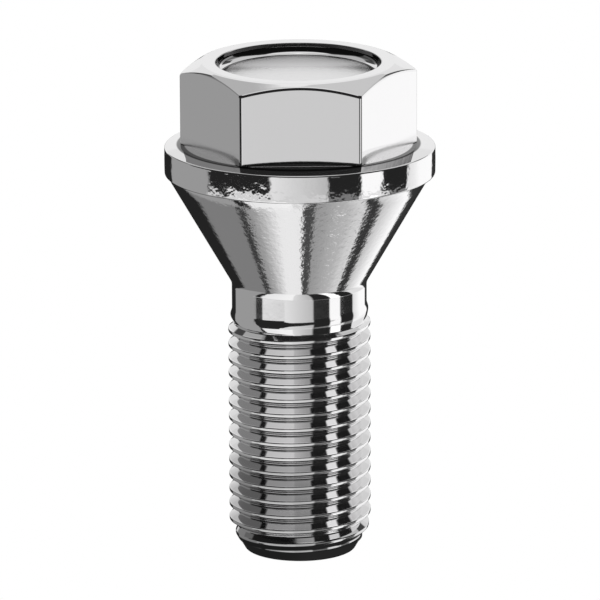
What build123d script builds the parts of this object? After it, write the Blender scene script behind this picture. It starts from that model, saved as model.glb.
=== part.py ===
from build123d import *
import math
import os

# Lug bolt in millimetres, standing on its flat point with the head upwards.
# The origin is the centre of the point, and +Z runs up the shank to the head.
# Two flats of the hexagon face along Y and two of its corners lie along X.

# Hexagon head, its height taken from the flange's upper edge
HEX_ACROSS_FLATS = 17.0
HEX_HEIGHT = 7.2
HEX_CORNER_RADIUS = 0.36

# Crown on top of the head: a level ring of land, then a cone that trims the corners
CROWN_SET_IN = 0.45
CROWN_FALL_ANGLE = 28.0
LAND_WIDTH = 1.25
LAND_EDGE_RADIUS = 0.6

# Round recess inside the land
RECESS_DEPTH = 1.0
RECESS_FLOOR_RADIUS = 0.7
RECESS_RIM_CHAMFER = 0.1

# Flange between the hexagon and the seat, its upper side falling outwards
FLANGE_DIAMETER = 22.4
FLANGE_THICKNESS = 2.31
FLANGE_FALL_ANGLE = 5.5
FLANGE_EDGE_CHAMFER = 0.12

# Conical seat that centres the wheel
SEAT_INCLUDED_ANGLE = 60.0
SEAT_STEP = 0.28
SEAT_BLEND_RADIUS = 1.2

# Plain neck, with the low bead that thread rolling pushes up at its lower end
NECK_DIAMETER = 11.2
NECK_LENGTH = 2.0
BEAD_HEIGHT = 0.15
BEAD_WIDTH = 1.3
VALLEY_DEPTH = 0.25
VALLEY_HALF_ANGLE = 30.0

# Threaded length, drawn as a cylinder over the crests, and its blunt conical point
THREAD_CREST_DIAMETER = 11.86
THREAD_LENGTH = 18.695
POINT_FLAT_DIAMETER = 9.2
POINT_HALF_ANGLE = 30.0

# Radii that follow from the diameters
thread_radius = THREAD_CREST_DIAMETER / 2
point_radius = POINT_FLAT_DIAMETER / 2
neck_radius = NECK_DIAMETER / 2
valley_radius = neck_radius - VALLEY_DEPTH
bead_radius = neck_radius + BEAD_HEIGHT
flange_radius = FLANGE_DIAMETER / 2
seat_radius = flange_radius - SEAT_STEP
land_radius = HEX_ACROSS_FLATS / 2 - CROWN_SET_IN
recess_radius = land_radius - LAND_WIDTH

# Levels, from the point upwards
point_height = (thread_radius - point_radius) / math.tan(math.radians(POINT_HALF_ANGLE))
run_out_height = (thread_radius - valley_radius) / math.tan(math.radians(VALLEY_HALF_ANGLE))
valley_z = THREAD_LENGTH + run_out_height
bead_top_z = valley_z + BEAD_WIDTH
seat_bottom_z = bead_top_z + NECK_LENGTH
seat_height = (seat_radius - neck_radius) / math.tan(math.radians(SEAT_INCLUDED_ANGLE / 2))
flange_bottom_z = seat_bottom_z + seat_height
flange_top_z = flange_bottom_z + FLANGE_THICKNESS
flange_peak_z = flange_top_z + flange_radius * math.tan(math.radians(FLANGE_FALL_ANGLE))
head_top_z = flange_top_z + HEX_HEIGHT

# Two levels closer than this are the same
SAME = 0.01


def corner(profile, radius, height):
    """The vertex of a half profile that lies at a radius and a height."""
    return profile.vertices().sort_by_distance((radius, height, 0))[0]


def turned_body():
    """Point, threaded shank, neck, seat and flange as one turned form."""
    with BuildPart() as body:
        with BuildSketch(Plane.XZ) as profile:
            with BuildLine():
                Polyline(
                    (0, 0),
                    (point_radius, 0),
                    (thread_radius, point_height),
                    (thread_radius, THREAD_LENGTH),
                    (valley_radius, valley_z),
                )
                ThreePointArc(
                    (valley_radius, valley_z),
                    (bead_radius, valley_z + BEAD_WIDTH / 2),
                    (neck_radius, bead_top_z),
                )
                Polyline(
                    (neck_radius, bead_top_z),
                    (neck_radius, seat_bottom_z),
                    (seat_radius, flange_bottom_z),
                    (flange_radius, flange_bottom_z),
                    (flange_radius, flange_top_z),
                    (0, flange_peak_z),
                    (0, 0),
                )
            make_face()
            fillet(corner(profile, neck_radius, seat_bottom_z), SEAT_BLEND_RADIUS)
            chamfer(corner(profile, flange_radius, flange_bottom_z), FLANGE_EDGE_CHAMFER)
            chamfer(corner(profile, flange_radius, flange_top_z), FLANGE_EDGE_CHAMFER)
        revolve(axis=Axis.Z)
    return body.part


def crown_blank():
    """A turned blank, wider than the hexagon, with the land and the crown's cone on top."""
    edge_radius = HEX_ACROSS_FLATS
    fall = (edge_radius - land_radius) * math.tan(math.radians(CROWN_FALL_ANGLE))
    with BuildPart() as blank:
        with BuildSketch(Plane.XZ) as profile:
            with BuildLine():
                Polyline(
                    (0, flange_bottom_z),
                    (edge_radius, flange_bottom_z),
                    (edge_radius, head_top_z - fall),
                    (land_radius, head_top_z),
                    (0, head_top_z),
                    (0, flange_bottom_z),
                )
            make_face()
            fillet(corner(profile, land_radius, head_top_z), LAND_EDGE_RADIUS)
        revolve(axis=Axis.Z)
    return blank.part


def hexagon():
    """The hexagon with rounded corners, its top trimmed to the crown."""
    sunk = FLANGE_THICKNESS / 2
    with BuildPart() as prism:
        with BuildSketch(Plane.XY.offset(flange_top_z - sunk)):
            outline = RegularPolygon(HEX_ACROSS_FLATS / 2, 6, major_radius=False)
            fillet(outline.vertices(), HEX_CORNER_RADIUS)
        extrude(amount=sunk + HEX_HEIGHT)
    return prism.part & crown_blank()


def recess():
    """The shallow round recess, with a rounded floor corner."""
    floor_z = head_top_z - RECESS_DEPTH
    mouth_z = head_top_z + RECESS_DEPTH
    with BuildPart() as hollow:
        with BuildSketch(Plane.XZ) as profile:
            with BuildLine():
                Polyline(
                    (0, floor_z),
                    (recess_radius, floor_z),
                    (recess_radius, mouth_z),
                    (0, mouth_z),
                    (0, floor_z),
                )
            make_face()
            fillet(corner(profile, recess_radius, floor_z), RECESS_FLOOR_RADIUS)
        revolve(axis=Axis.Z)
    return hollow.part


def recess_rim(bolt):
    """The edge where the recess meets the land: the innermost one at the head's top."""
    level = bolt.edges().filter_by(lambda edge: abs((edge @ 0.5).Z - head_top_z) < SAME)
    return level.sort_by(lambda edge: math.hypot((edge @ 0.5).X, (edge @ 0.5).Y))[0]


def lug_bolt():
    """The whole forged and rolled bolt as one solid."""
    bolt = turned_body() + hexagon() - recess()
    return chamfer(recess_rim(bolt), RECESS_RIM_CHAMFER)


os.makedirs("parts", exist_ok=True)
export_step(lug_bolt(), "parts/lug_bolt.step")
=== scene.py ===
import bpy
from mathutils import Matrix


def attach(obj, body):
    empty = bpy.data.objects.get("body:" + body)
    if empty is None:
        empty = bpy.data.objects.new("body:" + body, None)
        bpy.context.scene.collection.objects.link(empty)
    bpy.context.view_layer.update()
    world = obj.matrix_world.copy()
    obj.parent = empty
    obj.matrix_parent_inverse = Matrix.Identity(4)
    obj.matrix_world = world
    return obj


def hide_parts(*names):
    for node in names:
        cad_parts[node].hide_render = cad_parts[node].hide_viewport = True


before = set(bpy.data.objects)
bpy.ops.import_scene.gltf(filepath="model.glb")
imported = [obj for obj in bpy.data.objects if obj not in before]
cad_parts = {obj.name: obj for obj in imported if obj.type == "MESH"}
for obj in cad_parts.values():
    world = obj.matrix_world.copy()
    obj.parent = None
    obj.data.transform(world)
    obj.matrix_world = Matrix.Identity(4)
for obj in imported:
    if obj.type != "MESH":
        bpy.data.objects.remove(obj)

"""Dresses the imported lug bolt: its plated skin with the rolled thread, and the studio round it.

Sizes are in metres and angles in degrees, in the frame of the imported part. The bolt stands on
its point at the origin, +Z runs up the shank, and two flats of the hexagon face along Y. A
direction in the studio is a bearing, which is zero towards the camera and grows to its right.
"""

import logging
import math
from collections.abc import Callable, Iterable, Sequence
from dataclasses import dataclass
from enum import Enum
from functools import partial, reduce
from operator import mul
from typing import Any

import bpy
import numpy as np
from mathutils import Matrix, Vector

log = logging.getLogger("lug_bolt")

MM = 0.001
CAD_NODE = "lug_bolt"
BODY = "root"
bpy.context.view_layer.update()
PAPER_WHITE = (1.0, 1.0, 1.0, 1.0)

# The hexagon's sides, and the angle that each takes up.
SIDES = 6
SECTOR = math.radians(60)

# Turns in degrees, and the bearing of the photographed side about the axis.
WHOLE_TURN = 360.0
HALF_TURN = 180.0
FRONT = -90.0

# Lengths closer than this are the same, and no normal is divided by less than the other.
SAME = 1e-9
TINY = 1e-30

# Where something has faded out and where it is whole, or the other way round.
Edge = tuple[float, float]

# Gives radii from levels, bearings and the levels at bearing zero.
Shape = Callable[[np.ndarray, np.ndarray, np.ndarray], np.ndarray]


class Tone(Enum):
    """How bright a panel of the studio is, as light sent out, where one is paper white."""

    BLACK = 0.018
    INK = 0.04
    CHARCOAL = 0.066
    ASH = 0.21
    SMOKE = 0.328
    PEWTER = 0.46
    SILVER = 0.50
    STEEL = 0.60
    MIST = 0.66
    LINEN = 0.73
    LIGHT = 0.79
    PALE = 0.86
    CREAM = 0.95
    WHITE = 1.03
    GLARE = 1.26


class Space(Enum):
    """The coordinates that a pattern is drawn in."""

    OBJECT = "Object"
    DIRECTION = "Generated"


@dataclass(frozen=True)
class Signal:
    """A value that changes from place to place, carried by one socket of a node tree.

    Operators on signals and plain numbers add the Math nodes that work them out.
    """

    graph: "Graph"
    socket: bpy.types.NodeSocket

    def __add__(self, other: "Operand") -> "Signal":
        """Self plus other."""
        return self.graph.calculate("ADD", self, other)

    def __radd__(self, other: "Operand") -> "Signal":
        """Other plus self."""
        return self.graph.calculate("ADD", other, self)

    def __sub__(self, other: "Operand") -> "Signal":
        """Self minus other."""
        return self.graph.calculate("SUBTRACT", self, other)

    def __rsub__(self, other: "Operand") -> "Signal":
        """Other minus self."""
        return self.graph.calculate("SUBTRACT", other, self)

    def __neg__(self) -> "Signal":
        """Minus self."""
        return 0.0 - self

    def __mul__(self, other: "Operand") -> "Signal":
        """Self times other."""
        return self.graph.calculate("MULTIPLY", self, other)

    def __rmul__(self, other: "Operand") -> "Signal":
        """Other times self."""
        return self.graph.calculate("MULTIPLY", other, self)

    def __truediv__(self, other: "Operand") -> "Signal":
        """Self over other."""
        return self.graph.calculate("DIVIDE", self, other)

    def __rtruediv__(self, other: "Operand") -> "Signal":
        """Other over self."""
        return self.graph.calculate("DIVIDE", other, self)

    def towards(self, other: "Operand", share: "Signal") -> "Signal":
        """Self, giving way to another value by a share from zero to one."""
        return self * (1.0 - share) + other * share

    def ramp(self, low: float, high: float) -> "Signal":
        """A smooth step of this signal.

        Args:
            low: Where the step starts, at zero.
            high: Where it ends, at one. It may lie below low, and the step then falls.

        Returns:
            A signal from zero to one.
        """
        rising = low < high
        node = self.graph.node(
            "ShaderNodeMapRange",
            {"interpolation_type": "SMOOTHSTEP", "clamp": True},
            {
                "Value": self,
                "From Min": min(low, high),
                "From Max": max(low, high),
                "To Min": 0.0 if rising else 1.0,
                "To Max": 1.0 if rising else 0.0,
            },
        )
        return self.graph.signal(node)


Operand = Signal | float


class Graph:
    """A node tree that is written as expressions."""

    def __init__(self, tree: bpy.types.NodeTree) -> None:
        """Empties a node tree and takes it over.

        Args:
            tree: The tree of a material or of the world.
        """
        self.tree = tree
        tree.nodes.clear()

    def node(
        self,
        kind: str,
        settings: dict[str, Any] | None = None,
        sockets: dict[str | int, Any] | None = None,
    ) -> bpy.types.Node:
        """Adds a node.

        Args:
            kind: The node's type.
            settings: Its properties, set first. "stops" holds a colour ramp's stops, each a
                place from zero to one and a grey.
            sockets: The value or the link of each input socket, by name or by number.

        Returns:
            The new node.
        """
        made = self.tree.nodes.new(kind)
        for name, value in (settings or {}).items():
            if name == "stops":
                self._set_stops(made.color_ramp, value)
            else:
                setattr(made, name, value)
        for key, value in (sockets or {}).items():
            if isinstance(value, Signal):
                self.tree.links.new(value.socket, made.inputs[key])
            elif isinstance(value, bpy.types.NodeSocket):
                self.tree.links.new(value, made.inputs[key])
            else:
                made.inputs[key].default_value = value
        return made

    @staticmethod
    def _set_stops(ramp: bpy.types.ColorRamp, stops: Sequence[tuple[float, float]]) -> None:
        """Puts grey stops on a colour ramp.

        Args:
            ramp: The ramp, with its two stops of a new node.
            stops: Each stop's place from zero to one and its grey, in rising order.
        """
        ramp.elements.remove(ramp.elements[1])
        for index, (place, grey) in enumerate(stops):
            stop = ramp.elements[0] if index == 0 else ramp.elements.new(place)
            stop.position = place
            stop.color = (grey, grey, grey, 1.0)

    def signal(self, node: bpy.types.Node, output: str | int = 0) -> Signal:
        """One output of a node, as a signal."""
        return Signal(self, node.outputs[output])

    def calculate(self, operation: str, first: Operand, second: Operand = 0.0) -> Signal:
        """Adds one Math node.

        Args:
            operation: The name of the Math node's operation.
            first: The left operand.
            second: The right operand, where the operation has one.

        Returns:
            The result as a signal.
        """
        return self.signal(
            self.node("ShaderNodeMath", {"operation": operation}, {0: first, 1: second})
        )

    def place(self, space: Space) -> tuple[Signal, Signal, Signal]:
        """Where the shaded point is.

        Args:
            space: The coordinates that it is given in.

        Returns:
            Its three coordinates, as signals.
        """
        source = self.node("ShaderNodeTexCoord").outputs[space.value]
        parts = self.node("ShaderNodeSeparateXYZ", sockets={0: source})
        return self.signal(parts, 0), self.signal(parts, 1), self.signal(parts, 2)

    def vector(self, x: Operand, y: Operand, z: Operand) -> bpy.types.NodeSocket:
        """A vector put together from its three parts."""
        return self.node("ShaderNodeCombineXYZ", sockets={0: x, 1: y, 2: z}).outputs[0]

    def greys(self, stops: Sequence[tuple[float, float]], along: Signal) -> Signal:
        """The grey of a colour ramp at a place along it."""
        return self.signal(self.node("ShaderNodeValToRGB", {"stops": stops}, {"Fac": along}))

    def noise(
        self,
        at: bpy.types.NodeSocket,
        size: float,
        detail: float = 2.0,
        roughness: float = 0.55,
    ) -> Signal:
        """Soft noise about zero.

        Args:
            at: The place that it is drawn at, in metres.
            size: How far apart its lumps lie, in metres.
            detail: How many finer layers it has.
            roughness: How strong each finer layer is, as a share of the one before.

        Returns:
            A signal from about minus a half to a half.
        """
        made = self.node(
            "ShaderNodeTexNoise",
            {"noise_dimensions": "3D"},
            {"Vector": at, "Scale": 1.0 / size, "Detail": detail, "Roughness": roughness},
        )
        return self.signal(made) - 0.5

    def glow(self, strength: float) -> bpy.types.NodeSocket:
        """White light that a surface sends out, as a shader."""
        return self.node(
            "ShaderNodeEmission", None, {"Color": PAPER_WHITE, "Strength": strength}
        ).outputs[0]

    def surface(self, shader: bpy.types.NodeSocket) -> None:
        """Gives a shader to the material."""
        self.node("ShaderNodeOutputMaterial", None, {"Surface": shader})


def start_material(name: str) -> tuple[bpy.types.Material, Graph]:
    """Makes an empty material.

    Args:
        name: The material's name.

    Returns:
        The material, and the graph that its nodes are written in.
    """
    made = bpy.data.materials.new(name)
    made.use_nodes = True
    return made, Graph(made.node_tree)


@dataclass(frozen=True)
class Columns:
    """The upright lines of points that every ring of the skin has, set by the hexagon.

    They crowd round the hexagon's corners, so that its rounded edges are true.
    """

    across_flats: float = 17.0 * MM
    corner_radius: float = 0.36 * MM
    corner_steps: int = 6
    flat_points: int = 26

    def outline(self) -> tuple[np.ndarray, np.ndarray]:
        """Walks round the hexagon once, anticlockwise from above.

        Returns:
            The points of the rounded hexagon, and the outward direction at each.
        """
        apothem = self.across_flats / 2
        half = SECTOR / 2
        centre = (apothem - self.corner_radius) / math.cos(half)
        corner_half = math.atan2(
            self.corner_radius * math.sin(half), centre + self.corner_radius * math.cos(half)
        )
        points, outward = [], []
        for corner in range(SIDES):
            turn = corner * SECTOR
            hub = centre * self._way(turn)
            for step in range(self.corner_steps + 1):
                way = self._way(turn + SECTOR * (step / self.corner_steps - 0.5))
                points.append(hub + self.corner_radius * way)
                outward.append(way)
            facing = turn + half
            for step in range(1, self.flat_points + 1):
                share = step / (self.flat_points + 1)
                polar = turn + corner_half + share * (SECTOR - 2 * corner_half)
                points.append(apothem / math.cos(polar - facing) * self._way(polar))
                outward.append(self._way(facing))
        return np.array(points), np.array(outward)

    @staticmethod
    def _way(bearing: float) -> np.ndarray:
        """The direction of a bearing, in plan."""
        return np.array([math.cos(bearing), math.sin(bearing)])

    def angles(self) -> np.ndarray:
        """The bearing of each column about the bolt's axis, in radians, always rising."""
        points, _ = self.outline()
        return np.unwrap(np.arctan2(points[:, 1], points[:, 0]))


@dataclass(frozen=True)
class Corner:
    """A corner of a half profile: its radius and level, and the rounding that it gets."""

    radius: float
    level: float
    rounding: float = 0.0


@dataclass(frozen=True)
class Profile:
    """A half profile, as a chain of corners that are rounded off."""

    corners: tuple[Corner, ...]
    arc_steps: int = 6
    longest: float = 1.0 * MM

    def points(self) -> np.ndarray:
        """Samples the profile.

        Returns:
            Rows of radius and level, from the first corner to the last.
        """
        bends = [np.array([[c.radius, c.level]]) for c in self.corners]
        for index in range(1, len(self.corners) - 1):
            if self.corners[index].rounding > 0:
                bends[index] = self._arc(index)
        rows = [bends[0]]
        for before, after in zip(bends, bends[1:]):
            gap = after[0] - before[-1]
            count = max(1, math.ceil(float(np.hypot(*gap)) / self.longest))
            shares = np.arange(1, count)[:, None] / count
            rows.append(before[-1] + shares * gap)
            rows.append(after)
        return np.concatenate(rows)

    def _arc(self, index: int) -> np.ndarray:
        """The arc that rounds one corner.

        Args:
            index: Which corner.

        Returns:
            Rows of radius and level along the arc.
        """
        here, back, ahead = (
            np.array([self.corners[i].radius, self.corners[i].level])
            for i in (index, index - 1, index + 1)
        )
        way_back = (back - here) / np.hypot(*(back - here))
        way_ahead = (ahead - here) / np.hypot(*(ahead - here))
        half = math.acos(float(np.clip(way_back @ way_ahead, -1, 1))) / 2
        rounding = self.corners[index].rounding
        bisector = way_back + way_ahead
        hub = here + bisector / np.hypot(*bisector) * rounding / math.sin(half)
        start = here + way_back * rounding / math.tan(half) - hub
        end = here + way_ahead * rounding / math.tan(half) - hub
        first = math.atan2(start[1], start[0])
        sweep = math.atan2(start[0] * end[1] - start[1] * end[0], float(start @ end))
        turns = first + sweep * np.linspace(0, 1, self.arc_steps + 1)
        return hub + rounding * np.stack([np.cos(turns), np.sin(turns)], axis=1)


class Skin:
    """The plated surface, gathered ring by ring from the point to the head."""

    def __init__(self, angles: np.ndarray) -> None:
        """Starts an empty skin.

        Args:
            angles: The bearing of each column, in radians.
        """
        self.angles = angles
        self.across = np.stack([np.cos(angles), np.sin(angles)], axis=1)
        self.points: list[np.ndarray] = []
        self.faces: list[tuple[int, ...]] = []
        self.last: np.ndarray | None = None
        self.count = 0

    def _keep(self, points: np.ndarray) -> np.ndarray:
        """Stores points.

        Args:
            points: Rows of three coordinates.

        Returns:
            The number of each point.
        """
        self.points.append(points)
        self.count += len(points)
        return np.arange(self.count - len(points), self.count)

    def _face(self, corners: Iterable[int]) -> None:
        """Stores a face, less the corners that fall together.

        Args:
            corners: The numbers of its points, in order.
        """
        ring = list(dict.fromkeys(int(c) for c in corners))
        if len(ring) > 2:
            self.faces.append(tuple(ring))

    def _join(self, ring: np.ndarray) -> None:
        """Joins a ring to the one before it with one band of faces.

        Args:
            ring: The number of the ring's point in each column.
        """
        if self.last is not None:
            below, above = self.last, ring
            for corners in zip(below, np.roll(below, -1), np.roll(above, -1), above):
                self._face(corners)
        self.last = ring

    def pole(self, level: float) -> None:
        """A single point on the axis, which starts or ends the skin."""
        hub = self._keep(np.array([[0.0, 0.0, level]]))
        self._join(np.repeat(hub, len(self.angles)))

    def ring(self, plan: np.ndarray, level: float | np.ndarray) -> None:
        """A ring from its points in plan and its level, one for all or one for each."""
        self._join(self._keep(np.column_stack([plan, np.broadcast_to(level, len(plan))])))

    def turned(
        self, rows: np.ndarray, shift: float = 0.0, lean: tuple[float, float] = (0.0, 0.0)
    ) -> None:
        """Rings for a turned profile.

        Args:
            rows: Radius and level of each ring.
            shift: How far the rings stand off the axis, along X.
            lean: How fast the rings rise along X and along Y.
        """
        for radius, level in rows:
            plan = radius * self.across + np.array([shift, 0.0])
            self.ring(plan, level + plan @ np.array(lean))

    def helix(
        self, rows: np.ndarray, pitch: float, per_turn: int, shape: Shape, top: float
    ) -> None:
        """A band of rows that climb one pitch a turn, cut off level at both ends.

        Args:
            rows: The level of each row at bearing zero.
            pitch: The climb in one turn.
            per_turn: How many rows there are in one pitch.
            shape: Gives radii from levels, bearings and the levels at bearing zero.
            top: The level where the band ends. It starts at the last ring.
        """
        bottom_ring = self.last
        bottom = float(self.points[-1][0, 2])
        climb = pitch * self.angles / (2 * math.pi)
        levels = rows[:, None] + climb[None, :]
        bearings = np.broadcast_to(self.angles, levels.shape)
        radii = shape(levels, bearings, np.broadcast_to(rows[:, None], levels.shape))
        free = (levels > bottom) & (levels < top)
        numbers = np.empty(levels.shape, dtype=int)
        numbers[free] = self._keep(self._round(radii, bearings, levels)[free])
        top_levels = np.full(len(self.angles), top)
        top_radii = shape(top_levels, self.angles, top_levels - climb)
        top_ring = self._keep(self._round(top_radii, self.angles, top_levels))
        # Rows past an end fall together with the level ring that closes it.
        numbers = np.where(levels <= bottom, bottom_ring[None, :], numbers)
        numbers = np.where(levels >= top, top_ring[None, :], numbers)
        # After a whole turn a row meets the one that started a pitch higher.
        wrapped = np.concatenate([numbers[:-per_turn], numbers[per_turn:, :1]], axis=1)
        for low, high in zip(wrapped[:-1], wrapped[1:]):
            for corners in zip(low[:-1], low[1:], high[1:], high[:-1]):
                self._face(corners)
        self.last = top_ring

    @staticmethod
    def _round(radii: np.ndarray, bearings: np.ndarray, levels: np.ndarray) -> np.ndarray:
        """Points from their radii, bearings in radians and levels."""
        return np.stack([radii * np.cos(bearings), radii * np.sin(bearings), levels], axis=-1)

    def mesh(self, name: str) -> bpy.types.Mesh:
        """Makes the mesh, with normals that keep flats flat between rounded edges.

        Args:
            name: The mesh's name.

        Returns:
            The new mesh.
        """
        points = np.concatenate(self.points)
        used = np.unique(np.concatenate([np.array(face) for face in self.faces]))
        renumber = np.full(len(points), -1)
        renumber[used] = np.arange(len(used))
        points = points[used]
        faces = [tuple(int(renumber[corner]) for corner in face) for face in self.faces]
        made = bpy.data.meshes.new(name)
        made.from_pydata(points.tolist(), [], faces)
        made.shade_smooth()
        made.normals_split_custom_set_from_vertices(self._normals(points, faces).tolist())
        made.update()
        return made

    @staticmethod
    def _normals(points: np.ndarray, faces: Sequence[tuple[int, ...]]) -> np.ndarray:
        """A normal for each point, in which large faces count for most.

        Args:
            points: The points.
            faces: The three or four corners of each face.

        Returns:
            Rows of unit normals.
        """
        padded = np.array([face if len(face) == 4 else (*face, face[2]) for face in faces])
        first, second, third, fourth = (points[corner] for corner in padded.T)
        cross = np.cross(third - first, fourth - second)
        weighted = cross * np.linalg.norm(cross, axis=1)[:, None]
        normals = np.zeros_like(points)
        for corner in padded.T:
            np.add.at(normals, corner, weighted)
        return normals / np.maximum(np.linalg.norm(normals, axis=1), TINY)[:, None]


@dataclass(frozen=True)
class Point:
    """The blunt conical point that guides the bolt into its hole."""

    flat_radius: float = 4.6 * MM
    half_angle: float = 30.0
    edge_rounding: float = 0.2 * MM
    bare_height: float = 0.8 * MM

    def slope(self) -> float:
        """How fast the radius grows with the level."""
        return math.tan(math.radians(self.half_angle))

    def radius(self, level: np.ndarray) -> np.ndarray:
        """The radius of the cone at a level."""
        return self.flat_radius + level * self.slope()

    def lay(self, skin: Skin) -> None:
        """Lays the end face and the bare start of the cone.

        Args:
            skin: The skin, still empty.
        """
        end_radius = float(self.radius(np.array(self.bare_height)))
        skin.pole(0.0)
        profile = Profile(
            (
                Corner(self.flat_radius / 2, 0.0),
                Corner(self.flat_radius, 0.0, self.edge_rounding),
                Corner(end_radius, self.bare_height),
            )
        )
        skin.turned(profile.points())


@dataclass(frozen=True)
class Thread:
    """The rolled right-hand metric thread, from the point up to the run-out."""

    crest_radius: float = 5.93 * MM
    pitch: float = 1.25 * MM
    depth: float = 0.72 * MM
    flank_angle: float = 30.0
    crest_rounding: float = 0.10 * MM
    root_rounding: float = 0.14 * MM
    crest_flat: float = 0.24 * MM
    crest_level: float = 0.77 * MM
    arc_steps: int = 4
    spare_turns: int = 2
    blend: float = 0.06 * MM
    run_out_start: float = 19.58 * MM
    run_out_end: float = 19.7 * MM
    run_out_fade: float = 0.75
    valley_radius: float = 5.48 * MM
    valley_rise: float = 0.12 * MM
    valley_spread: float = 1.5
    tip_spare: float = 0.1 * MM

    def valley(self, bearing: np.ndarray) -> np.ndarray:
        """The radius of the valley above the run-out, which is shallower in front."""
        front = np.clip(-self.valley_spread * np.sin(bearing), 0, 1)
        return self.valley_radius + self.valley_rise * front

    def tooth(self) -> np.ndarray:
        """Half of one tooth, from the middle of the root to the middle of the crest.

        Returns:
            Rows of radius below the crest and level above the root's middle.
        """
        run = self.depth * math.tan(math.radians(self.flank_angle))
        root_half = (self.pitch - self.crest_flat) / 2 - run
        profile = Profile(
            (
                Corner(-self.depth, 0.0),
                Corner(-self.depth, root_half, self.root_rounding),
                Corner(0.0, root_half + run, self.crest_rounding),
                Corner(0.0, self.pitch / 2),
            ),
            arc_steps=self.arc_steps,
        )
        return profile.points()

    def section(self) -> tuple[np.ndarray, np.ndarray]:
        """One whole pitch of the thread's section.

        Returns:
            The levels of its points above a root's middle, and their radii less the crest's.
        """
        half = self.tooth()
        levels = np.concatenate([half[:, 1], self.pitch - half[-2:0:-1, 1]])
        drops = np.concatenate([half[:, 0], half[-2:0:-1, 0]])
        return levels, drops

    def root_level(self) -> float:
        """The level of a root's middle at bearing zero."""
        return self.crest_level - self.pitch / 2

    def lay(self, skin: Skin, point: Point) -> None:
        """Lays the thread on top of the point.

        Args:
            skin: The skin, with the start of the point on it.
            point: The point, whose cone cuts the first turns.
        """
        levels, _ = self.section()
        turns = math.ceil(self.run_out_end / self.pitch) + self.spare_turns
        starts = self.root_level() + self.pitch * np.arange(-self.spare_turns, turns)
        rows = (starts[:, None] + levels[None, :]).ravel()
        skin.helix(rows, self.pitch, len(levels), partial(self.radius, point), self.run_out_end)

    def radius(
        self, point: Point, level: np.ndarray, bearing: np.ndarray, row: np.ndarray
    ) -> np.ndarray:
        """The radius of the thread at a place, cut by the point and the run-out.

        Args:
            point: The point, whose cone cuts the first turns.
            level: The level of the place.
            bearing: Its bearing, in radians.
            row: The level that its row of the thread has at bearing zero.

        Returns:
            The radius of each place.
        """
        levels, drops = self.section()
        along = np.mod(row - self.root_level(), self.pitch)
        drop = np.interp(along, np.append(levels, self.pitch), np.append(drops, drops[0]))
        fade = np.clip((level - self.run_out_start) / self.pitch + 0.5, 0, 1)
        root = self.crest_radius - self.depth
        crest = np.minimum(self.crest_radius, point.radius(level - along + self.pitch / 2))
        tooth = (self.depth + drop) * np.clip((crest - root) / self.depth, 0, 1)
        thread = self.crest_radius - (self.depth - tooth) * (1 - self.run_out_fade * fade)
        cone = point.radius(level) + np.clip(level - point.bare_height, 0, self.tip_spare)
        end = (self.run_out_end - level) / (self.run_out_end - self.run_out_start)
        valley = self.valley(bearing)
        envelope = valley + (self.crest_radius - valley) * np.clip(end, 0, 1)
        return self._softly_least(self._softly_least(thread, cone), envelope)

    def _softly_least(self, one: np.ndarray, other: np.ndarray) -> np.ndarray:
        """The lesser of two radii, with the crossing rounded off."""
        near = np.clip(0.5 + 0.5 * (other - one) / self.blend, 0, 1)
        return other + (one - other) * near - self.blend * near * (1 - near)


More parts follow.
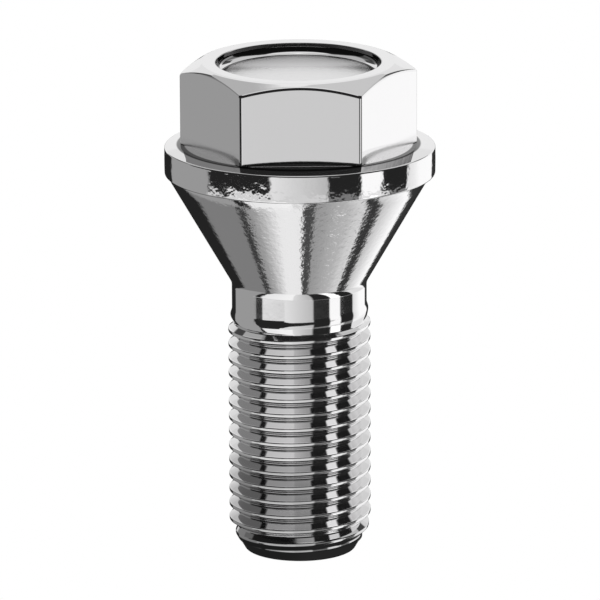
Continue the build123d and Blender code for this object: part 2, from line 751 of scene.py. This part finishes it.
@dataclass(frozen=True)
class Seat:
    """The neck with its low bead, the conical seat and the flange above it.

    The bead's swells are pairs of a bearing, which is zero in front, and a share of its height.
    The step's lead is how far within and how far below it the rim's first ring lies, and the
    rim's reach is how far in from its edge the line of the upper side is drawn.
    """

    neck_radius: float = 5.6 * MM
    bead_radius: float = 5.75 * MM
    valley_level: float = 19.7 * MM
    bead_width: float = 1.3 * MM
    bead_lean: float = 0.28 * MM
    bead_swells: tuple[tuple[float, float], ...] = (
        (-95.0, 1.0),
        (-75.0, 0.2),
        (-42.0, 0.2),
        (-34.0, 0.9),
        (-18.0, 0.9),
        (-11.0, 0.3),
        (20.0, 0.25),
        (72.0, 0.25),
        (92.0, 1.0),
    )
    bead_steps: int = 8
    neck_length: float = 2.0 * MM
    half_angle: float = 30.0
    blend: float = 1.2 * MM
    cone_spacing: float = 0.6 * MM
    step: float = 0.28 * MM
    step_rounding: float = 0.07 * MM
    step_lead: tuple[float, float] = (0.056 * MM, 0.28 / 3 * MM)
    flange_radius: float = 11.2 * MM
    flange_thickness: float = 2.31 * MM
    edge_rounding: float = 0.14 * MM
    collar_radius: float = 9.86 * MM
    top_fall: float = 7.85
    flange_shift: float = 0.1 * MM
    rim_swell: float = 0.016 * MM
    rim_width: float = 0.364 * MM
    rim_spacing: float = 0.25 * MM
    rim_reach: float = 1.4 * MM

    def neck_top(self) -> float:
        """The level where the neck meets the seat."""
        return self.valley_level + self.bead_width + self.neck_length

    def flange_bottom(self) -> float:
        """The level of the flange's lower side."""
        rise = (self.flange_radius - self.step - self.neck_radius) / math.tan(
            math.radians(self.half_angle)
        )
        return self.neck_top() + rise

    def flange_top(self) -> float:
        """The level of the flange's upper edge."""
        return self.flange_bottom() + self.flange_thickness

    def top_slope(self) -> float:
        """How fast the flange's upper side falls outside the collar."""
        return math.tan(math.radians(self.top_fall))

    def top_level(self, plan: np.ndarray) -> np.ndarray:
        """The level of the flange's upper side, flat within the collar and falling outside."""
        out = np.maximum(np.linalg.norm(plan, axis=1), self.collar_radius)
        return self.flange_top() + self.top_slope() * (self.flange_radius - out)

    def lay(self, skin: Skin, valley: np.ndarray) -> None:
        """Lays the bead, neck, seat and the flange's rim.

        Args:
            skin: The skin, up to the run-out of the thread.
            valley: The radius at the run-out's end, for each column.
        """
        self._lay_bead(skin, valley)
        cone = Profile(
            (
                Corner(self.neck_radius, self.neck_top() - self.neck_length),
                Corner(self.neck_radius, self.neck_top(), self.blend),
                Corner(self.flange_radius - self.step, self.flange_bottom()),
            ),
            longest=self.cone_spacing,
        )
        skin.turned(cone.points()[1:-1])
        skin.turned(self._rim(), self.flange_shift)

    def _lay_bead(self, skin: Skin, valley: np.ndarray) -> None:
        """Lays the bead, which swells by bearing and leans above its foot.

        Args:
            skin: The skin, up to the run-out of the thread.
            valley: The radius at the run-out's end, for each column.
        """
        from_front = np.mod(np.degrees(skin.angles) - FRONT + HALF_TURN, WHOLE_TURN) - HALF_TURN
        swell = np.interp(from_front, *np.array(self.bead_swells).T)
        bead = self.neck_radius + (self.bead_radius - self.neck_radius) * swell
        rings = []
        shares = np.linspace(0, 1, self.bead_steps + 1)[1:]
        for share in shares:
            rings.append((valley + (bead - valley) * math.sin(share * math.pi / 2), share, share))
        for share in shares:
            left = 0.5 + 0.5 * math.cos(share * math.pi)
            rings.append((self.neck_radius + (bead - self.neck_radius) * left, 1 + share, 1.0))
        for radii, rise, lean in rings:
            plan = radii[:, None] * skin.across
            climb = plan[:, 0] * lean * self.bead_lean / self.bead_radius
            skin.ring(plan, self.valley_level + self.bead_width / 2 * rise + climb)

    def _rim(self) -> np.ndarray:
        """The half profile of the flange's rim, which swells a little in the middle.

        Returns:
            Rows of radius and level, from the seat to just inside the upper edge.
        """
        bottom, top = self.flange_bottom(), self.flange_top()
        lead, drop = self.step_lead
        seat_radius = self.flange_radius - self.step
        rim = Profile(
            (
                Corner(seat_radius - lead, bottom - drop),
                Corner(seat_radius, bottom, self.step_rounding),
                Corner(self.flange_radius, bottom, self.edge_rounding),
                Corner(self.flange_radius, top, self.edge_rounding),
                Corner(
                    self.flange_radius - self.rim_reach, top + self.rim_reach * self.top_slope()
                ),
            ),
            longest=self.rim_spacing,
        ).points()
        share = (rim[:, 1] - bottom) / self.flange_thickness
        bulge = self.rim_swell * np.clip(1 - (2 * share - 1) ** 2, 0, 1)
        rim[:, 0] += bulge - self.rim_swell
        return rim[rim[:, 0] >= self.flange_radius - self.rim_width]


@dataclass(frozen=True)
class Head:
    """The hexagon with its crown, the ring of land on top and the recess inside it.

    Shares place a ring on its way across the flange, the collar or the crown.
    """

    columns: Columns
    height: float = 7.2 * MM
    flange_shares: tuple[float, ...] = (0.35, 0.7, 0.94)
    collar_shares: tuple[float, ...] = (0.0, 0.1, 0.5, 1.0)
    crown_shares: tuple[float, ...] = (0.34, 0.67)
    root_rounding: float = 0.012 * MM
    trim_rounding: float = 0.35 * MM
    corner_falls: tuple[float, ...] = (0.86, 1.0, 1.0, 1.06, 0.98, 1.10)
    top_lean: float = 0.85
    land_radius: float = 8.05 * MM
    land_rounding: float = 0.6 * MM
    crown_angle: float = 28.0
    land_width: float = 1.25 * MM
    recess_depth: float = 1.0 * MM
    recess_rounding: float = 0.7 * MM
    recess_spacing: float = 0.8 * MM
    recess_steps: int = 8
    pole_radius: float = 0.2 * MM
    rim_rounding: float = 0.1 * MM
    side_rows: int = 10
    arc_steps: int = 5

    def lay(self, skin: Skin, seat: Seat) -> None:
        """Lays the flange's upper side, the hexagon and all that is above it.

        Args:
            skin: The skin, up to the flange's upper edge.
            seat: The seat and flange, which the hexagon stands on.
        """
        outline, outward = self.columns.outline()
        top = seat.flange_top() + self.height
        self._lay_collar(skin, seat, outline + self.root_rounding * outward)
        foot = seat.top_level(outline)
        for turn in self._turns(math.radians(90)):
            out = self.root_rounding * (1 - math.sin(turn))
            lift = self.root_rounding * (1 - math.cos(turn))
            skin.ring(outline + out * outward, foot + lift)
        falls = self._falls(skin.angles)
        trim = self._crown_level(outline, falls, top)
        self._lay_sides(skin, outline, foot + self.root_rounding, trim)
        start = np.linalg.norm(outline, axis=1) - self._trim_reach() * self._crown_run()
        for share in self.crown_shares:
            radii = start + share * (self._land_edge() - start)
            plan = radii[:, None] * skin.across
            skin.ring(plan, self._crown_level(plan, falls, top))
        self._lay_recess(skin, top)

    def _turns(self, whole: float) -> list[float]:
        """The angles at the steps of an arc, less its start."""
        return [whole * step / self.arc_steps for step in range(1, self.arc_steps + 1)]

    def _crown_slope(self) -> float:
        """How fast the crown falls outwards."""
        return math.tan(math.radians(self.crown_angle))

    def _crown_run(self) -> float:
        """How far the crown runs outwards, for one unit along it."""
        return math.cos(math.radians(self.crown_angle))

    def _trim_reach(self) -> float:
        """How far from the trim line its rounding starts."""
        return self.trim_rounding * math.tan(math.radians(90 - self.crown_angle) / 2)

    def _land_edge(self) -> float:
        """The radius where the crown gives way to the rounding round the land."""
        reach = self.land_rounding * math.tan(math.radians(self.crown_angle) / 2)
        return self.land_radius + reach * self._crown_run()

    def _lean(self) -> float:
        """How fast the head's top rises from front to back."""
        return math.tan(math.radians(self.top_lean))

    def _falls(self, angles: np.ndarray) -> np.ndarray:
        """How steeply the crown falls, passing smoothly from one corner to the next.

        Args:
            angles: The bearing of each column, in radians.

        Returns:
            For each column, a share of the crown's own slope.
        """
        place = np.mod(angles / SECTOR, SIDES)
        before = np.floor(place).astype(int)
        share = 0.5 - 0.5 * np.cos(math.pi * (place - before))
        falls = np.array(self.corner_falls)
        return (1 - share) * falls[before] + share * falls[(before + 1) % SIDES]

    def _crown_level(self, plan: np.ndarray, falls: np.ndarray, top: float) -> np.ndarray:
        """The level of the crown, which leans down to the front.

        Args:
            plan: Points in plan, one for each column.
            falls: How steeply the crown falls at each column.
            top: The level of the land's back edge.

        Returns:
            The level at each point.
        """
        out = np.linalg.norm(plan, axis=1) - self.land_radius
        lean = self._lean() * (plan[:, 1] - self.land_radius)
        return top - out * self._crown_slope() * falls + lean

    def _lay_collar(self, skin: Skin, seat: Seat, edge: np.ndarray) -> None:
        """Lays the flange's upper side, from its edge over the collar to the hexagon.

        Args:
            skin: The skin, up to the flange's upper edge.
            seat: The seat and flange.
            edge: The hexagon's foot in plan.
        """
        collar = seat.collar_radius * skin.across
        rim = skin.points[-1][:, :2]
        shift = np.array([seat.flange_shift, 0.0])
        for share in self.flange_shares:
            plan = (1 - share) * rim + share * collar
            skin.ring(plan, seat.top_level(plan - (1 - share) * shift))
        for share in self.collar_shares:
            plan = (1 - share) * collar + share * edge
            skin.ring(plan, seat.top_level(plan))

    def _lay_sides(
        self, skin: Skin, outline: np.ndarray, low: np.ndarray, trim: np.ndarray
    ) -> None:
        """Lays the side faces, up to and over their rounded trim.

        Args:
            skin: The skin, up to the foot of the sides.
            outline: The hexagon in plan.
            low: The level where each column of the sides starts.
            trim: The level where it meets the crown.
        """
        reach = self._trim_reach()
        for share in np.linspace(0, 1, self.side_rows + 1)[1:]:
            skin.ring(outline, low + share * (trim - reach - low))
        for turn in self._turns(math.radians(90 - self.crown_angle)):
            inward = self.trim_rounding * (1 - math.cos(turn))
            lift = self.trim_rounding * math.sin(turn)
            skin.ring(outline - inward * skin.across, trim - reach + lift)

    def _lay_recess(self, skin: Skin, top: float) -> None:
        """Lays the land and the recess, which lean as the crown does.

        Args:
            skin: The skin, up to the top of the crown.
            top: The level of the land's back edge.
        """
        inner = self.land_radius - self.land_width
        floor = top - self.recess_depth
        profile = Profile(
            (
                Corner(self.land_radius + MM, top - self._crown_slope() * MM),
                Corner(self.land_radius, top, self.land_rounding),
                Corner(inner, top, self.rim_rounding),
                Corner(inner, floor, self.recess_rounding),
                Corner(self.pole_radius, floor),
            ),
            arc_steps=self.recess_steps,
            longest=self.recess_spacing,
        )
        sunk = self._lean() * self.land_radius
        rows = profile.points() - np.array([0.0, sunk])
        skin.turned(rows[rows[:, 0] <= self._land_edge() + SAME], lean=(0.0, self._lean()))
        skin.pole(floor - sunk)


@dataclass(frozen=True)
class Zone:
    """A stretch of the surface, between two levels and between two distances from the axis.

    Each edge says where the zone has faded out and where it is whole.
    """

    bottom: Edge | None = None
    top: Edge | None = None
    inner: Edge | None = None
    outer: Edge | None = None

    def mask(self, level: Signal, square: Signal) -> Signal:
        """How far the shaded point lies inside the zone.

        Args:
            level: Its level.
            square: The square of its distance from the axis.

        Returns:
            A signal from zero outside to one inside.
        """
        fades = [level.ramp(*edge) for edge in (self.bottom, self.top) if edge]
        fades += [square.ramp(*squares(edge)) for edge in (self.inner, self.outer) if edge]
        return reduce(mul, fades)


def squares(edge: Edge) -> Edge:
    """The squares of an edge's two distances."""
    return edge[0] ** 2, edge[1] ** 2


@dataclass(frozen=True)
class Grain:
    """A soft pattern in the plating: how far apart its lumps lie, how strong and how fine.

    Upright is how fast it changes up the bolt, as a share of how fast it changes across.
    """

    size: float
    strength: float
    detail: float = 2.0
    upright: float = 1.0

    def pattern(self, graph: Graph, place: Sequence[Signal]) -> Signal:
        """The pattern at the shaded point.

        Args:
            graph: The material's graph.
            place: The point's three coordinates.

        Returns:
            A signal about zero.
        """
        x, y, z = place
        at = graph.vector(x, y, z * self.upright)
        return graph.noise(at, self.size, self.detail) * self.strength


@dataclass(frozen=True)
class ChromePlate:
    """Bright chrome plating over forged and rolled steel.

    Bumps are in millimetres. A tint is the share of the plating's colour that is left where shade
    is painted into it.
    """

    name: str = "chrome_plate"
    colour: tuple[float, float, float] = (0.93, 0.925, 0.93)
    roughness: float = 0.05
    seat: Zone = Zone(bottom=(23.1 * MM, 23.5 * MM), top=(32.3 * MM, 32.1 * MM))
    rim: Zone = Zone(bottom=(32.1 * MM, 32.4 * MM), top=(34.4 * MM, 34.3 * MM))
    head: Zone = Zone(bottom=(34.7 * MM, 35.0 * MM))
    # Painted shade: the plating's colour is darkened in the thread's grooves, below the crests.
    groove_shade: Zone = Zone(
        bottom=(0.8 * MM, 1.0 * MM), top=(19.7 * MM, 19.5 * MM), outer=(5.86 * MM, 5.80 * MM)
    )
    groove_shade_tint: float = 0.82
    # Painted shade: a black ring on the flange's upper side round the edge of the collar, in the
    # crease.
    collar: Zone = Zone(
        bottom=(34.4 * MM, 34.5 * MM),
        top=(34.76 * MM, 34.74 * MM),
        inner=(9.37 * MM, 9.53 * MM),
        outer=(10.16 * MM, 10.0 * MM),
    )
    collar_shade_tint: float = 0.02
    # Painted shade: the wall of the recess in the head is darkened.
    wall: Zone = Zone(
        bottom=(40.9 * MM, 41.0 * MM),
        top=(41.62 * MM, 41.58 * MM),
        inner=(6.27 * MM, 6.43 * MM),
        outer=(6.94 * MM, 6.86 * MM),
    )
    wall_shade_tint: float = 0.25
    # Painted shade: the thread is darker towards the point on its left front side.
    low_left_shade: Zone = Zone(top=(9.2 * MM, 8.0 * MM))
    low_left_shade_side: Edge = (2.6 * MM, 4.6 * MM)
    low_left_shade_tint: float = 0.7
    foot: Zone = Zone(bottom=(34.74 * MM, 34.76 * MM), top=(35.7 * MM, 35.2 * MM))
    foot_side: Edge = (5.1 * MM, 5.5 * MM)
    foot_roughness: float = 0.2
    floor: Zone = Zone(
        bottom=(40.0 * MM, 40.2 * MM), top=(41.1 * MM, 40.9 * MM), outer=(6.2 * MM, 6.0 * MM)
    )
    floor_back: Edge = (1.5 * MM, 4.0 * MM)
    floor_roughness: float = 0.17
    floor_back_roughness: float = 0.35
    cloud: Grain = Grain(size=3.0 * MM, strength=0.02)
    seat_grain: Grain = Grain(size=0.42 * MM, strength=0.012, detail=3.0)
    rim_grain: Grain = Grain(size=1.6 * MM, strength=0.03, detail=3.0)
    bare_grain: Grain = Grain(size=1.6 * MM, strength=0.002, detail=3.0)
    floor_grain: Grain = Grain(size=0.25 * MM, strength=0.004)
    head_streaks: Grain = Grain(size=0.5 * MM, strength=0.002, upright=0.04)

    def material(self) -> bpy.types.Material:
        """Builds the material.

        Returns:
            The new material.
        """
        made, graph = start_material(self.name)
        place = graph.place(Space.OBJECT)
        x, y, z = place
        square = x * x + y * y
        seat, rim, head, floor = (
            zone.mask(z, square) for zone in (self.seat, self.rim, self.head, self.floor)
        )
        sides = (x * x).ramp(*squares(self.foot_side))
        foot = self.foot.mask(z, square) * sides
        leftwards = (x + y) * -math.cos(math.radians(45))
        low_left_shade = self.low_left_shade.mask(z, square) * leftwards.ramp(*self.low_left_shade_side)
        # Painted shade, multiplied into the plating's colour: in the grooves, round the collar, on
        # the recess wall and low on the thread's left front side.
        shade = (
            self._painted_shade(self.groove_shade.mask(z, square), self.groove_shade_tint)
            * self._painted_shade(self.collar.mask(z, square), self.collar_shade_tint)
            * self._painted_shade(self.wall.mask(z, square), self.wall_shade_tint)
            * self._painted_shade(low_left_shade, self.low_left_shade_tint)
        )
        colour = graph.node(
            "ShaderNodeMix",
            {"data_type": "RGBA"},
            {"Factor": shade, 6: (0.0, 0.0, 0.0, 1.0), 7: (*self.colour, 1.0)},
        )
        height = (
            seat * self.seat_grain.pattern(graph, place)
            + rim * self.rim_grain.pattern(graph, place)
            + head * self.head_streaks.pattern(graph, place)
            + floor * self.floor_grain.pattern(graph, place)
            + (1.0 - seat) * (1.0 - rim) * self.bare_grain.pattern(graph, place)
        )
        bump = graph.node(
            "ShaderNodeBump", None, {"Strength": 1.0, "Distance": 1.0 * MM, "Height": height}
        )
        roughness = (
            self.roughness
            + self.cloud.pattern(graph, place)
            + foot * self.foot_roughness
            + floor * (self.floor_roughness + y.ramp(*self.floor_back) * self.floor_back_roughness)
        )
        shader = graph.node(
            "ShaderNodeBsdfPrincipled",
            None,
            {
                "Base Color": colour.outputs[2],
                "Metallic": 1.0,
                "Roughness": roughness,
                "Normal": bump.outputs[0],
            },
        )
        graph.surface(shader.outputs[0])
        return made

    @staticmethod
    def _painted_shade(mask: Signal, tint: float) -> Signal:
        """Painted shade: one outside a mask and the tint inside it."""
        return 1.0 - mask * (1.0 - tint)


@dataclass(frozen=True)
class LugBolt:
    """The whole bolt, forged, rolled and plated as one piece."""

    columns: Columns = Columns()
    point: Point = Point()
    thread: Thread = Thread()
    seat: Seat = Seat()
    finish: ChromePlate = ChromePlate()

    def build(self) -> bpy.types.Object:
        """Builds and dresses the bolt.

        Returns:
            The bolt's object, riding on its body in place of the CAD node.
        """
        skin = Skin(self.columns.angles())
        self.point.lay(skin)
        self.thread.lay(skin, self.point)
        self.seat.lay(skin, self.thread.valley(skin.angles))
        Head(self.columns).lay(skin, self.seat)
        mesh = skin.mesh("plated_lug_bolt")
        mesh.materials.append(self.finish.material())
        bolt = bpy.data.objects.new("plated_lug_bolt", mesh)
        bpy.context.scene.collection.objects.link(bolt)
        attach(bolt, BODY)
        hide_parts(CAD_NODE)
        return bolt


@dataclass(frozen=True)
class Panel:
    """One upright panel of the studio: where it starts, its tone and how soft that edge is."""

    start: float
    tone: Tone
    softness: float = 2.0


@dataclass(frozen=True)
class Belt:
    """A belt of panels right round the bolt, up to one elevation, and how soft its foot is."""

    panels: tuple[Panel, ...]
    top: float = 90.0
    softness: float = 1.0

    def stops(self) -> list[tuple[float, float]]:
        """The stops of a colour ramp over a whole turn.

        Returns:
            Each stop's place from zero to one and its grey.
        """
        made = [(0.0, self.panels[0].tone.value)]
        for before, after in zip(self.panels, self.panels[1:]):
            place = (after.start + HALF_TURN) / WHOLE_TURN
            half = after.softness / 2 / WHOLE_TURN
            made.append((place - half, before.tone.value))
            made.append((place + half, after.tone.value))
        made.append((1.0, self.panels[0].tone.value))
        return made


# What the skirt and the lower wall share: the panels from the camera round to the right.
RIGHT_WALL = (
    Panel(0, Tone.SILVER, 46),
    Panel(24, Tone.BLACK),
    Panel(53, Tone.WHITE),
    Panel(74, Tone.BLACK),
    Panel(104, Tone.LIGHT),
    Panel(115, Tone.WHITE, 18),
    Panel(152, Tone.BLACK),
)


@dataclass(frozen=True)
class Studio:
    """The light tent round the bolt: belts of black and white panels, and a white surround.

    The ground is not a belt by elevation. It is what the conical seat reflects, whose
    directions lie on a surface of their own.
    """

    turn: float = 0.0
    ground: Belt = Belt(
        (
            Panel(-180, Tone.BLACK),
            Panel(-135, Tone.ASH),
            Panel(-94, Tone.INK),
            Panel(-85, Tone.SMOKE),
            Panel(-59, Tone.PALE, 36),
            Panel(8, Tone.CHARCOAL),
            Panel(31, Tone.SMOKE),
            Panel(60, Tone.PEWTER, 38),
            Panel(90, Tone.LINEN, 22),
            Panel(103, Tone.INK),
            Panel(117, Tone.STEEL),
            Panel(132, Tone.WHITE, 24),
            Panel(149, Tone.INK),
        ),
    )
    apron: Belt = Belt(
        (
            Panel(-180, Tone.BLACK),
            Panel(-143, Tone.SMOKE),
            Panel(-82, Tone.BLACK),
            Panel(-70, Tone.PALE, 5),
            Panel(-40, Tone.CREAM, 40),
            Panel(-11, Tone.LINEN),
            Panel(4, Tone.SILVER, 26),
            Panel(23, Tone.BLACK, 4),
            Panel(55.5, Tone.GLARE),
            Panel(75.5, Tone.BLACK),
            Panel(102.5, Tone.LIGHT),
            Panel(151, Tone.BLACK),
        ),
        top=-17.3,
    )
    plinth: Belt = Belt(
        (
            Panel(-180, Tone.BLACK),
            Panel(-143, Tone.SMOKE),
            Panel(-85, Tone.MIST),
            Panel(23, Tone.ASH),
            Panel(52, Tone.LIGHT),
            Panel(82, Tone.ASH, 3),
            Panel(104, Tone.CREAM),
            Panel(151, Tone.BLACK),
        ),
        top=-15.25,
        softness=0.1,
    )
    skirt: Belt = Belt(
        (
            Panel(-180, Tone.BLACK),
            Panel(-140, Tone.SMOKE),
            Panel(-79.5, Tone.BLACK),
            Panel(-66, Tone.PALE),
            Panel(-44, Tone.LIGHT, 30),
            *RIGHT_WALL,
        ),
        top=-14.42,
        softness=0.1,
    )
    lower_wall: Belt = Belt(
        (
            Panel(-180, Tone.BLACK),
            Panel(-141, Tone.SMOKE),
            Panel(-84, Tone.BLACK),
            Panel(-25, Tone.LIGHT),
            *RIGHT_WALL,
        ),
        top=-6.0,
        softness=0.24,
    )
    upper_wall: Belt = Belt(
        (
            Panel(-180, Tone.PALE),
            Panel(-148, Tone.SMOKE),
            Panel(-105, Tone.BLACK),
            Panel(105, Tone.CREAM),
            Panel(148, Tone.PALE),
        ),
        top=15.3,
    )
    cornice: Belt = Belt(
        (
            Panel(-180, Tone.LIGHT),
            Panel(-148, Tone.CHARCOAL),
            Panel(-128, Tone.ASH),
            Panel(-105, Tone.BLACK),
            Panel(105, Tone.SILVER),
            Panel(127, Tone.CHARCOAL),
            Panel(146, Tone.LIGHT),
        ),
        top=34.0,
        softness=0.6,
    )
    ceiling: Belt = Belt(
        (
            Panel(-180, Tone.PALE),
            Panel(-158, Tone.PEWTER, 12),
            Panel(-100, Tone.BLACK, 8),
            Panel(100, Tone.STEEL, 8),
            Panel(163, Tone.PALE, 6),
        ),
        top=66.0,
    )
    zenith: Belt = Belt(
        (
            Panel(-180, Tone.PALE),
            Panel(-158, Tone.SILVER, 12),
            Panel(-100, Tone.LIGHT, 12),
            Panel(100, Tone.STEEL, 12),
            Panel(163, Tone.PALE, 6),
        ),
        softness=4.0,
    )
    ground_reach: tuple[float, float] = (-0.24, -0.12)
    ground_back: float = 1.6
    ground_round: float = 1.85
    ground_grain: float = 0.25
    grain_size: float = 0.02
    grain_detail: float = 3.0

    def light(self, graph: Graph) -> Signal:
        """The light that comes from each direction.

        Args:
            graph: The graph of the world.

        Returns:
            How bright it is, where one is paper white.
        """
        x, y, z = graph.place(Space.DIRECTION)
        round_share = graph.calculate("ARCTAN2", x, -y) / (2 * math.pi)
        bearing = graph.calculate("FRACT", round_share + (0.5 - self.turn / WHOLE_TURN))
        elevation = graph.calculate("ARCSINE", z) * math.degrees(1)
        light = graph.greys(self.apron.stops(), bearing)
        edge = self.apron.top
        for belt in (
            self.plinth,
            self.skirt,
            self.lower_wall,
            self.upper_wall,
            self.cornice,
            self.ceiling,
            self.zenith,
        ):
            above = elevation.ramp(edge - belt.softness / 2, edge + belt.softness / 2)
            light = light.towards(graph.greys(belt.stops(), bearing), above)
            edge = belt.top
        across = graph.calculate("SQRT", 1.0 - z * z)
        downward = -z + y * self.ground_back - across * self.ground_round
        grain = graph.noise(graph.vector(x, y, z), self.grain_size, self.grain_detail)
        cast = graph.greys(self.ground.stops(), bearing) * (grain * self.ground_grain + 1.0)
        return light.towards(cast, downward.ramp(*self.ground_reach))

    def build(self) -> None:
        """Builds the world, which the camera itself sees as plain white."""
        world = bpy.data.worlds.new("studio")
        world.use_nodes = True
        bpy.context.scene.world = world
        graph = Graph(world.node_tree)
        tent, white = (
            graph.node("ShaderNodeBackground", None, {"Color": PAPER_WHITE, "Strength": strength})
            for strength in (self.light(graph), 1.0)
        )
        seen = graph.node("ShaderNodeLightPath").outputs["Is Camera Ray"]
        mixed = graph.node(
            "ShaderNodeMixShader", None, {0: seen, 1: tent.outputs[0], 2: white.outputs[0]}
        )
        graph.node("ShaderNodeOutputWorld", None, {"Surface": mixed.outputs[0]})


@dataclass(frozen=True)
class OpalSheet:
    """A pale sheet that is lit from below."""

    name: str = "opal_sheet"
    glow: float = 1.0

    def material(self) -> bpy.types.Material:
        """Builds the material."""
        made, graph = start_material(self.name)
        graph.surface(graph.glow(self.glow))
        return made


@dataclass(frozen=True)
class ShadeCardFinish:
    """A dark card of painted shade that thins out towards its edge."""

    name: str = "painted_shade_card"
    glow: float = 0.02
    core_radii: Edge = (6.0 * MM, 8.5 * MM)

    def material(self) -> bpy.types.Material:
        """Builds the material.

        Returns:
            The new material.
        """
        made, graph = start_material(self.name)
        x, y, _ = graph.place(Space.OBJECT)
        out = (x * x + y * y).ramp(*squares(self.core_radii))
        clear = graph.node("ShaderNodeBsdfTransparent").outputs[0]
        mixed = graph.node(
            "ShaderNodeMixShader", None, {0: out, 1: graph.glow(self.glow), 2: clear}
        )
        graph.surface(mixed.outputs[0])
        return made


def flat_sheet(
    name: str, corners: Sequence[tuple[float, float]], depth: float, finish: OpalSheet | ShadeCardFinish
) -> bpy.types.Object:
    """Makes a level sheet of one face.

    Args:
        name: The name of the sheet and its mesh.
        corners: Its corners in plan, anticlockwise from above.
        depth: How far it lies under the bolt's point.
        finish: What it is made of.

    Returns:
        The new object, linked to the scene.
    """
    mesh = bpy.data.meshes.new(name)
    mesh.from_pydata([(x, y, 0.0) for x, y in corners], [], [tuple(range(len(corners)))])
    mesh.materials.append(finish.material())
    sheet = bpy.data.objects.new(name, mesh)
    sheet.location.z = -depth
    bpy.context.scene.collection.objects.link(sheet)
    return sheet


@dataclass(frozen=True)
class Table:
    """The plain pale table that the bolt stands on."""

    half_width: float = 2.0
    depth: float = 0.02 * MM
    finish: OpalSheet = OpalSheet()

    def build(self) -> bpy.types.Object:
        """Builds the table top, just under the bolt's point.

        Returns:
            The table's object.
        """
        size = self.half_width
        corners = [(-size, -size), (size, -size), (size, size), (-size, size)]
        table = flat_sheet("table", corners, self.depth, self.finish)
        table.visible_glossy = False
        return table


@dataclass(frozen=True)
class ShadeCard:
    """A small dark card under the point, which is seen only in the plating: painted shade, a dark
    reflection standing in for the shade round the point.
    """

    radius: float = 11.0 * MM
    corners: int = 48
    depth: float = 0.1 * MM
    finish: ShadeCardFinish = ShadeCardFinish()

    def build(self) -> bpy.types.Object:
        """Builds the dark card of painted shade just under the table top.

        Returns:
            The dark card's object.
        """
        turns = np.linspace(0, 2 * math.pi, self.corners, endpoint=False)
        ring = self.radius * np.stack([np.cos(turns), np.sin(turns)], axis=1)
        # Painted shade: a dark sheet hidden from the camera, seen only in reflections in the
        # point.
        shade_card = flat_sheet("shade_card", ring.tolist(), self.depth, self.finish)
        shade_card.visible_camera = False
        shade_card.visible_diffuse = False
        return shade_card


@dataclass(frozen=True)
class Camera:
    """A long lens that looks slightly down on the bolt."""

    distance: float = 0.5
    elevation: float = 14.65
    bearing: float = -1.1
    target_level: float = 21.295 * MM
    target_side: float = 0.06 * MM
    roll: float = -0.24
    lens: float = 361.0
    clip_reach: float = 100.0
    sensor: float = 36.0

    def build(self) -> bpy.types.Object:
        """Makes the camera and gives it to the scene.

        Returns:
            The camera's object.
        """
        data = bpy.data.cameras.new("camera")
        data.lens = self.lens
        data.sensor_width = self.sensor
        data.clip_start = self.distance / self.clip_reach
        data.clip_end = self.distance * self.clip_reach
        camera = bpy.data.objects.new("camera", data)
        bpy.context.scene.collection.objects.link(camera)
        tilt, turn = math.radians(self.elevation), math.radians(self.bearing)
        right = Vector((math.cos(turn), math.sin(turn), 0.0))
        front = Vector((math.sin(turn), -math.cos(turn), 0.0))
        back = front * math.cos(tilt) + Vector((0.0, 0.0, math.sin(tilt)))
        target = right * self.target_side + Vector((0.0, 0.0, self.target_level))
        turned = (-back).to_track_quat("-Z", "Y").to_matrix().to_4x4()
        spin = Matrix.Rotation(math.radians(self.roll), 4, "Z")
        camera.matrix_world = Matrix.Translation(target + back * self.distance) @ turned @ spin
        bpy.context.scene.camera = camera
        return camera


def main() -> None:
    """Builds the bolt and the studio in order, and reports each piece."""
    logging.basicConfig(level=logging.INFO)
    bpy.context.scene.view_settings.view_transform = "Standard"
    bolt = LugBolt().build()
    log.info("%s: %d faces", bolt.name, len(bolt.data.polygons))
    table = Table().build()
    log.info("%s: stage", table.name)
    shade_card = ShadeCard().build()
    log.info("%s: stage", shade_card.name)
    lens = Camera()
    camera = lens.build()
    Studio(turn=lens.bearing).build()
    log.info("%s: %g mm lens", camera.name, camera.data.lens)


if __name__ == "__main__":
    main()
